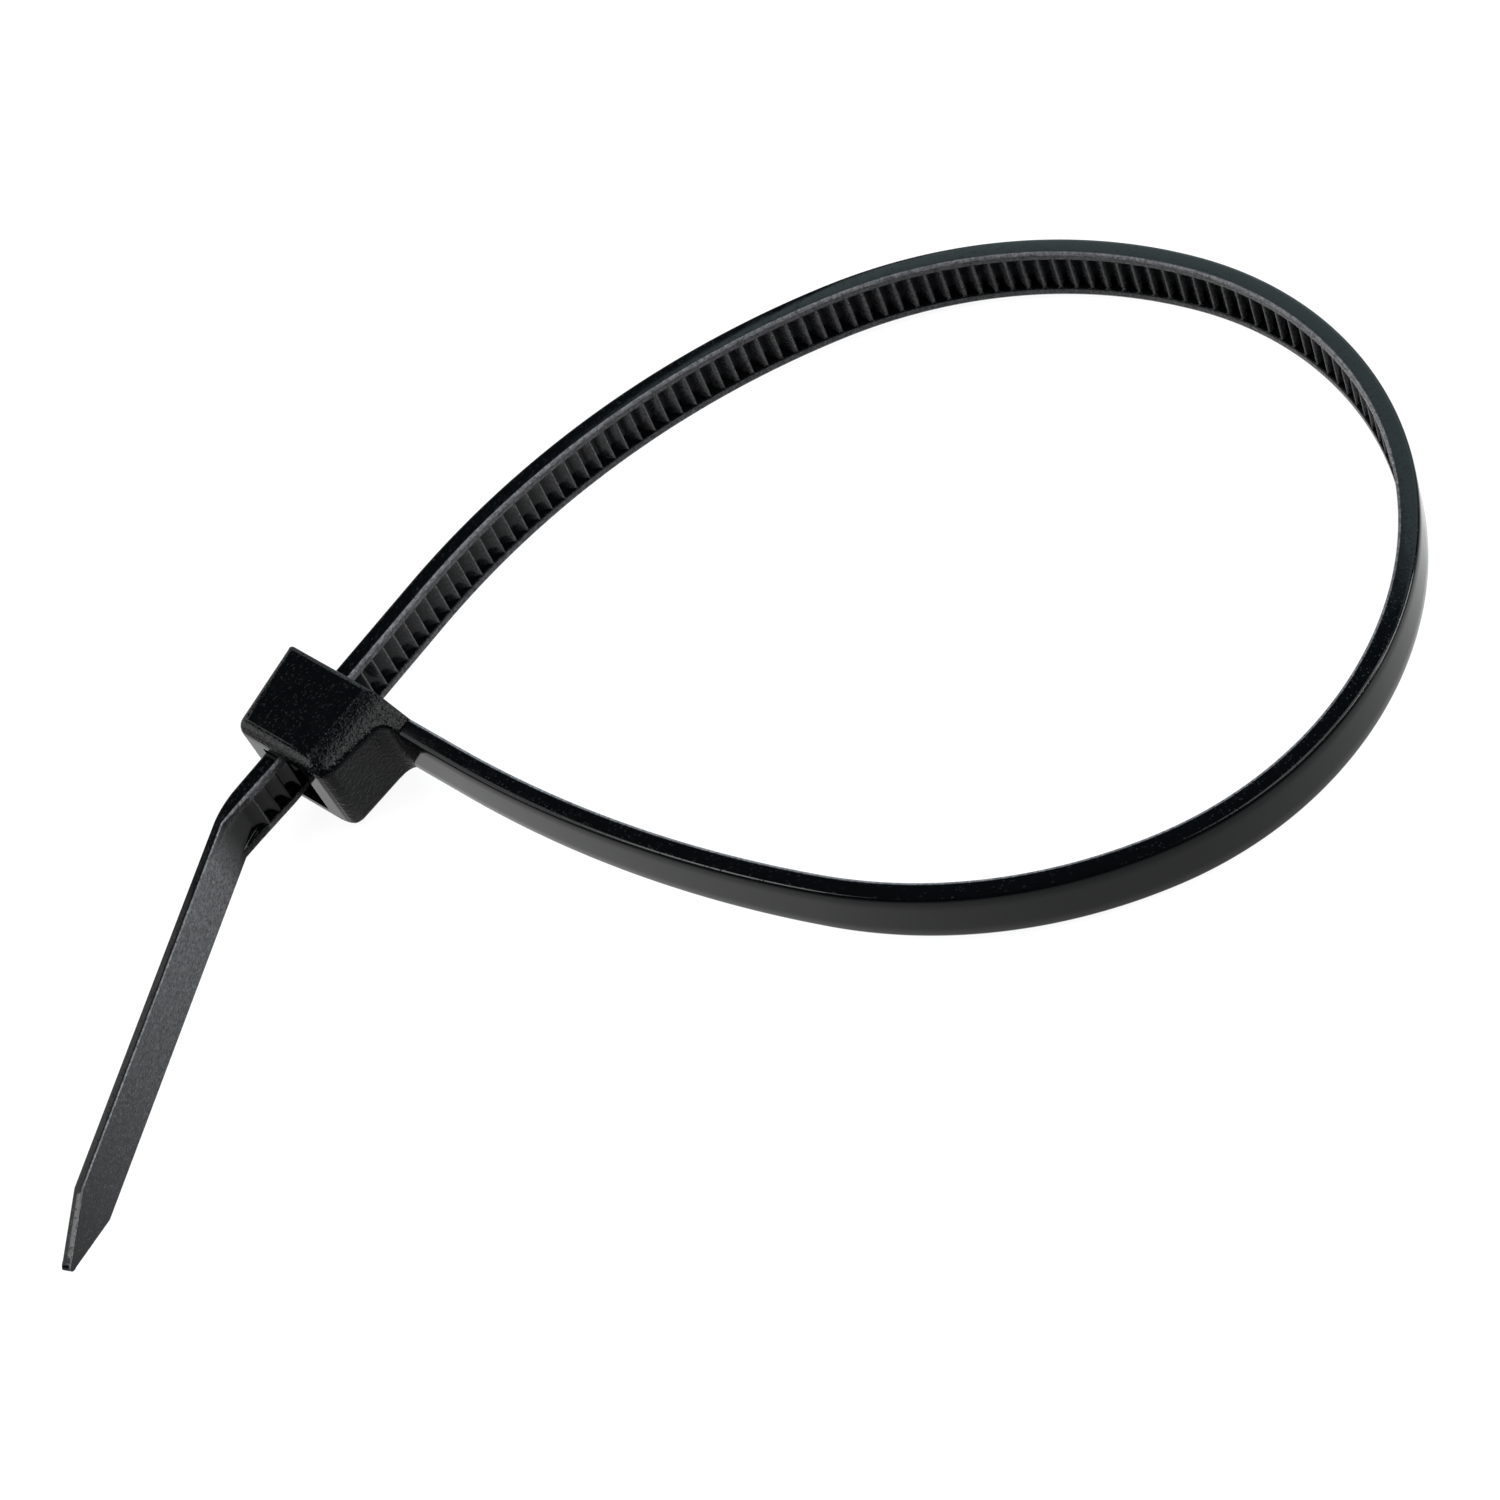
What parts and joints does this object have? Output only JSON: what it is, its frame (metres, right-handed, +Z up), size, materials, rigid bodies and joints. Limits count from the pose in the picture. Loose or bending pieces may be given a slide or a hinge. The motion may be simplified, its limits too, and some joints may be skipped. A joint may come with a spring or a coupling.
{
  "type": "cable tie",
  "caption": "Black nylon cable tie closed into a loop: a box head with a pawl in its slot, a strap with cross teeth between two rails, and a smooth tail bent aside to a blunt point.",
  "frame": {"origin": "on the surface the tie lies on, under the middle of the head's slot, both across it and along it", "axes": "+X from the head to the far end of the loop, +Z up, along the width of the strap; the strap leaves the slot towards -X and -Y"},
  "size_m": [0.074, 0.0486, 0.006],
  "materials": {
    "nylon": "fine moulded grain, satin where the strap is polished"
  },
  "bodies": {
    "root": {"cable_tie": "nylon"}
  },
  "joints": []
}
